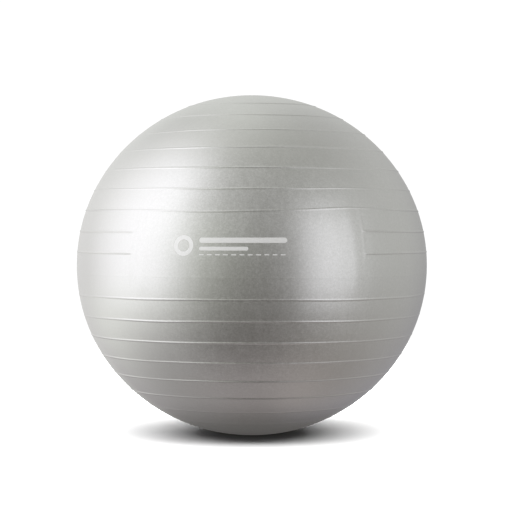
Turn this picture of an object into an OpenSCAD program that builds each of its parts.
// Exercise ball: a thin hollow ball with grip ribs, standing on the small
// flat patch that its own weight presses into it, and the air valve in its
// rear panel. Millimetres, +Z up. The origin is at the middle of the flat
// patch, the front panel faces -Y and the valve is in the rear panel, at +Y.

/* [Ball] */
// Width of the inflated ball across its middle
ball_w = 650; // [550:10:850]
// Height of the free outline as a share of the width
squat = 0.9705; // [0.94:0.0005:1]
// Thickness of the moulded skin
wall = 0.8; // [0.6:0.1:1.4]
// Radius of the flat patch that the ball rests on
patch_r = 36; // [26:1:50]

/* [Ribs] */
// Height of a grip rib above the skin
rib_h = 1.0; // [0.4:0.1:2]
// Width of a grip rib at its foot
rib_w = 5.0; // [3:0.5:8]
// Angle between the two ribs nearest the middle
rib_pitch = 6.93; // [6.5:0.01:7]
// How much the angle grows towards the poles
rib_spread = 0.0105; // [0:0.0005:0.012]
// Height of the rib pattern's middle above the ball's own middle
rib_shift = 5.2; // [0:0.1:8]
// Height of the moulding's fine parting line
seam_h = 0.35; // [0.2:0.05:0.6]
// Width of the moulding's fine parting line
seam_w = 3.0; // [2:0.5:5]

/* [Panels] */
// Angle that each smooth panel spans, between the rib ends
panel_deg = 77.5; // [50:0.5:110]
// Angle from a rib's end to the fine line along the panel's edge
panel_inset = 2.2; // [1.5:0.1:6]
// Height of the fine line along the panel's edge
panel_line_h = 0.3; // [0.2:0.05:0.6]

/* [Valve] */
// Radius of the sleeve's bore, which the plug's stem fills
bore_r = 4.6; // [3.6:0.1:5.2]
// Length of the sleeve from the floor of its recess to its inner end
sleeve_len = 24; // [22:1:34]
// Wall of the sleeve around the bore
sleeve_wall = 2.4; // [1.6:0.1:3]
// Depth of the recess that the plug's head sits in
recess_d = 2.4; // [1.8:0.1:3]
// Radius of the plug's head
head_r = 10.5; // [9.5:0.5:12]
// Width of the rim around the recess
rim_w = 3.0; // [2:0.5:4]
// Width of the flange that holds the sleeve under the skin
flange_w = 6.0; // [4:0.5:9]
// Length of the plug's stem
stem_len = 22; // [18:1:24]
// Gap between the stem's sealing rings and the bore
stem_gap = 0.05; // [0.02:0.01:0.1]

/* [Hidden] */
$fn = 96;

a = ball_w / 2;              // half width
c = a * squat;               // half height of the free outline
q_patch = -acos(patch_r / a);  // where the outline meets the flat patch
zc = -c * sin(q_patch);      // height of the widest section
fine = 2.5;                  // largest angle between two outline points
t_top = 8.5;                 // outermost rib each way, in rib steps

// A point of the outline at angle q, standing off by d along its normal.
function nrm(q) = let(n = [cos(q) / a, sin(q) / c]) n / norm(n);
function pt(q, d = 0) = [a * cos(q), zc + c * sin(q)] + d * nrm(q);

// Angle that a length s along the outline takes up at angle q.
function deg_of(s, q) =
    s / norm([a * sin(q), c * cos(q)]) * 180 / PI;

// Angle of rib number t: half steps, counted from the pattern's middle.
function rib_q(t) =
    asin((c * sin(rib_pitch * t + rib_spread * t * t * t) + rib_shift) / c);

// Cross-section of a rib, as [share of its width, share of its height].
section = [[-0.5, 0], [-0.27, 0.7], [-0.09, 1], [0.09, 1], [0.27, 0.7],
           [0.5, 0]];
function rib_pts(q, w, h) =
    [for (s = section) pt(q + deg_of(s[0] * w, q), s[1] * h)];

// Ribs that run all round: [rib number, width, height]. The two above the
// parting line stop at the panels, and the parting line stands in for one.
rings = [for (t = [-t_top : 1 : t_top]) if (t < 0 || t > 2)
    t == -0.5 ? [t, seam_w, seam_h] : [t, rib_w, rib_h]];
function ring_lo(i) = let(q = rib_q(rings[i][0]))
    q - deg_of(rings[i][1] / 2, q);
function ring_hi(i) = let(q = rib_q(rings[i][0]))
    q + deg_of(rings[i][1] / 2, q);

// Outline points strictly between two angles.
function between(q1, q2, d = 0) = let(n = ceil((q2 - q1) / fine))
    n < 2 ? [] : [for (i = [1 : n - 1]) pt(q1 + (q2 - q1) * i / n, d)];

last = len(rings) - 1;
outer = concat(
    [[0, 0], pt(q_patch)],
    [for (i = [0 : last]) each concat(
        between(i == 0 ? q_patch : ring_hi(i - 1), ring_lo(i)),
        rib_pts(rib_q(rings[i][0]), rings[i][1], rings[i][2]))],
    between(ring_hi(last), 90),
    [[0, zc + c]]);
inner = concat(
    [[0, pt(q_patch, -wall)[1]], pt(q_patch, -wall)],
    between(q_patch, 90, -wall),
    [[0, zc + c - wall]]);

// Valve: its place is the middle of the rear panel, square to the skin.
q_valve = (rib_q(-0.5) + rib_q(2.5)) / 2;
valve_tilt = atan2(nrm(q_valve)[1], nrm(q_valve)[0]);
recess_r = head_r + 0.5;
rim_r = recess_r + rim_w;
boss_r = rim_r + flange_w;
boss_d = 3.0;                // depth of the thick skin around the valve
rim_h = 0.6;                 // how far the rim stands out
seat_end = -recess_d - sleeve_len;
flange_t = 1.6;
head_top = 0.9;              // how far the head's crown stands out
lift = 0.05;                 // air under the head

// Turns a shape built up +Z onto the valve's axis, zero on the skin.
module at_valve() {
    translate([0, pt(q_valve)[0], pt(q_valve)[1]])
        rotate([valve_tilt - 90, 0, 0]) children();
}

// A rib over part of the circle, rooted in the skin.
module arc_rib(t, from, span) {
    q = rib_q(t);
    rotate_extrude(angle = span, start = from) polygon(concat(
        [pt(q + deg_of(-0.56 * rib_w, q), -wall / 2)],
        [for (s = section) if (s[1] > 0)
            pt(q + deg_of(s[0] * rib_w, q), s[1] * rib_h)],
        [pt(q + deg_of(0.56 * rib_w, q), -wall / 2)]));
}

// The fine upright line along a panel's edge, centred on one angle.
module panel_line(mid) {
    span = 0.45;
    q1 = rib_q(-0.5);
    q2 = rib_q(2.5);
    n = 8;
    rotate_extrude(angle = span, start = mid - span / 2) polygon(concat(
        [for (i = [0 : n]) pt(q1 + (q2 - q1) * i / n, panel_line_h)],
        [for (i = [n : -1 : 0]) pt(q1 + (q2 - q1) * i / n, -wall / 2)]));
}

// Seamless moulded skin, with its ribs, panels and thick patch.
module ball_skin() color([0.70, 0.70, 0.69]) difference() {
    union() {
        difference() {
            rotate_extrude() polygon(outer);
            difference() {
                rotate_extrude() polygon(inner);
                at_valve() translate([0, 0, -boss_d])
                    cylinder(r = boss_r, h = boss_d + 6);
            }
        }
        for (side = [0, 180], t = [0.5, 1.5])
            arc_rib(t, side - 90 + panel_deg / 2, 180 - panel_deg);
        for (side = [-90, 90], s = [-1, 1])
            panel_line(side + s * (panel_deg / 2 - panel_inset));
    }
    at_valve() translate([0, 0, -12]) cylinder(r = rim_r, h = 24);
}

// Valve sleeve, moulded into the skin and held under it by a flange.
module valve_seat() color([0.88, 0.88, 0.86]) at_valve()
    rotate_extrude() polygon([
        [bore_r, seat_end], [bore_r, -recess_d], [recess_r, -recess_d],
        [recess_r, rim_h - 0.4], [recess_r + 0.5, rim_h],
        [rim_r - 0.8, rim_h], [rim_r, rim_h - 0.6],
        [rim_r, -boss_d], [boss_r - 0.6, -boss_d],
        [boss_r, -boss_d - 0.5], [boss_r - 0.6, -boss_d - flange_t],
        [bore_r + sleeve_wall + 1.6, -boss_d - flange_t],
        [bore_r + sleeve_wall, -boss_d - flange_t - 1.6],
        [bore_r + sleeve_wall, seat_end + 1],
        [bore_r + sleeve_wall - 0.8, seat_end]]);

// Stopper: a crowned head on a stem with sealing rings.
stem_r = bore_r - stem_gap;
neck_r = stem_r - 0.55;
ring_n = 4;
ring_gap = 4.2;
z_head = -recess_d + lift;
module valve_plug() color([0.93, 0.93, 0.92]) at_valve()
    rotate_extrude() polygon(concat(
        [[0, z_head - stem_len], [neck_r - 1.2, z_head - stem_len],
         [neck_r, z_head - stem_len + 1.6]],
        [for (i = [0 : ring_n - 1]) let(z = z_head - stem_len + 3 + i * ring_gap)
            each [[neck_r, z], [stem_r, z + 0.8], [stem_r, z + 1.6],
                  [neck_r, z + 2.2]]],
        [[neck_r, z_head - 1.6], [stem_r - 0.1, z_head - 0.8],
         [stem_r - 0.1, z_head], [head_r - 0.4, z_head],
         [head_r, z_head + 0.4], [head_r, head_top - 1.1],
         [head_r - 0.5, head_top - 0.5], [head_r - 1.6, head_top - 0.1],
         [head_r - 3, head_top], [3.2, head_top], [2.6, head_top - 0.9],
         [0, head_top - 0.9]]));

ball_skin();
valve_seat();
valve_plug();
